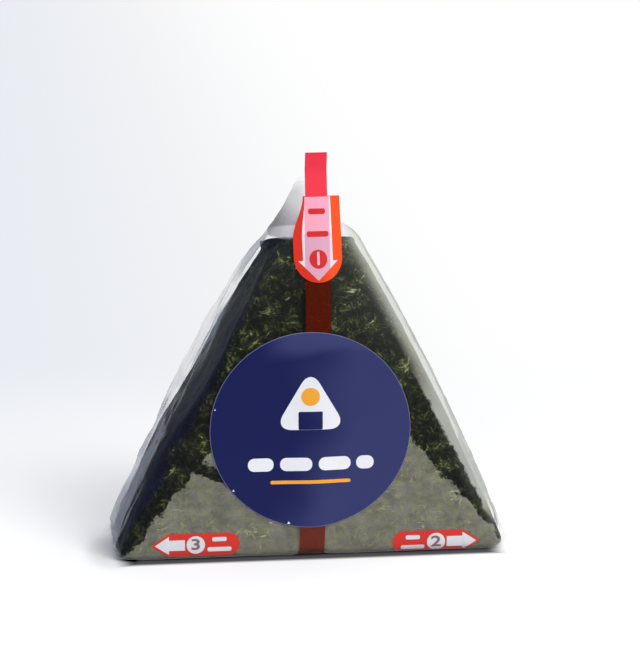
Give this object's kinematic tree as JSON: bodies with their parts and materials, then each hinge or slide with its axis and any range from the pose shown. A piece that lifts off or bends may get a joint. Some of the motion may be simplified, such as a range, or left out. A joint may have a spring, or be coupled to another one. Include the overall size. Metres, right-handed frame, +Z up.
{
  "type": "packed rice ball",
  "caption": "Triangular rice ball in nori, shut in a clear film pack that stands on its base, with a tear tape, a numbered pull tab at the peak and a round label on the front.",
  "frame": {"origin": "on the ground, under the middle of the object's box", "axes": "+Z up, the front panel with the round label faces -Y, +X to the label's right"},
  "size_m": [0.098, 0.0346, 0.0998],
  "materials": {
    "film": "clear glossy film, milky where it lies close over the nori",
    "nori": "dry pressed seaweed, dark green with paler flecks",
    "tape": "thin red see-through tape",
    "tab_print": "glossy printed film, red with white",
    "label": "semi-gloss printed sticker, navy with white and orange"
  },
  "bodies": {
    "root": {"film_pack": "film", "tear_tape": "tape", "pull_tab": "tab_print", "round_label": "label"}
  },
  "joints": []
}
